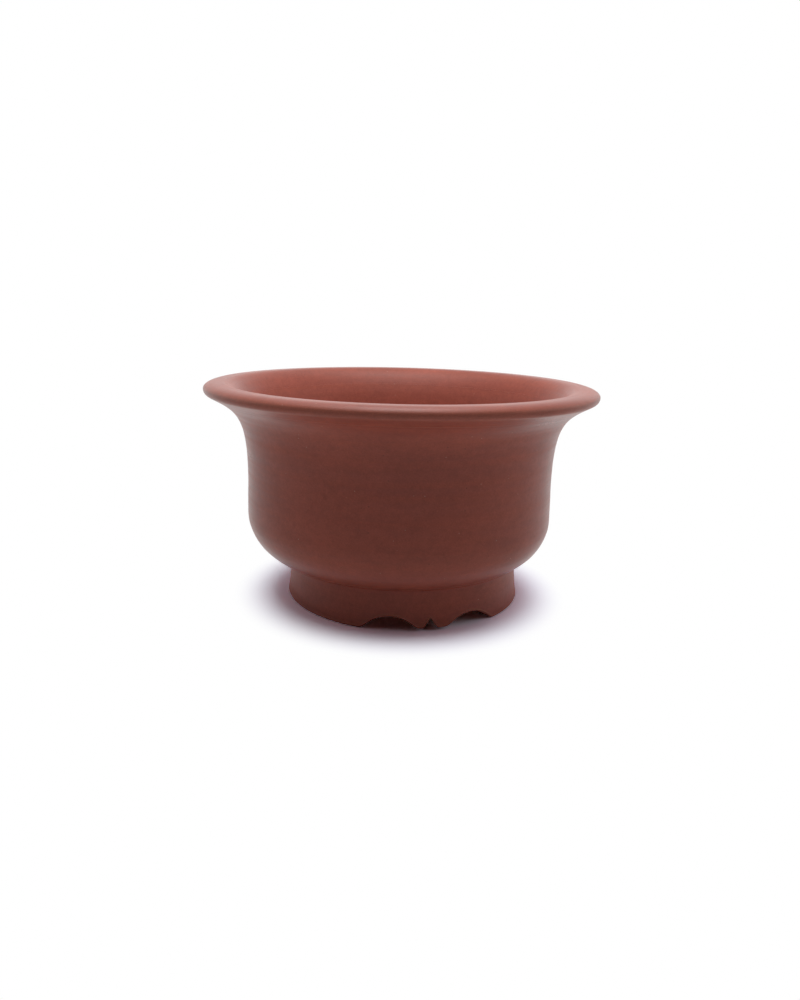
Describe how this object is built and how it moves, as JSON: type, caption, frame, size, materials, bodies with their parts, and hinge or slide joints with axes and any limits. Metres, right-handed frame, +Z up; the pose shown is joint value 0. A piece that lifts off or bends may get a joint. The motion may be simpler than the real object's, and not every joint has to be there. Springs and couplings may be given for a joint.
{
  "type": "round bonsai pot",
  "caption": "Round unglazed clay bonsai pot: waisted bowl with a trumpet neck and rolled lip, a floor with a drainage hole, and a low foot ring with arched cuts.",
  "frame": {"origin": "on the plane that the pot rests on, under the bowl's axis, which is the middle of the bounding box's bottom", "axes": "+Z up along the bowl's axis; the front group of cuts in the foot faces -Y and the back group +Y; the foot ring stands 2.9 mm off the axis towards +X"},
  "size_m": [0.2, 0.2, 0.1119],
  "materials": {
    "lip_clay": "unglazed, satin-matte, sponged smooth",
    "wall_clay": "unglazed, satin-matte, fine turning lines",
    "floor_clay": "unglazed, matte",
    "foot_clay": "unglazed, matte, knife-cut lower edge"
  },
  "bodies": {
    "root": {"rim_lip": "lip_clay", "bowl_wall": "wall_clay", "floor_disc": "floor_clay", "foot_ring": "foot_clay"}
  },
  "joints": []
}
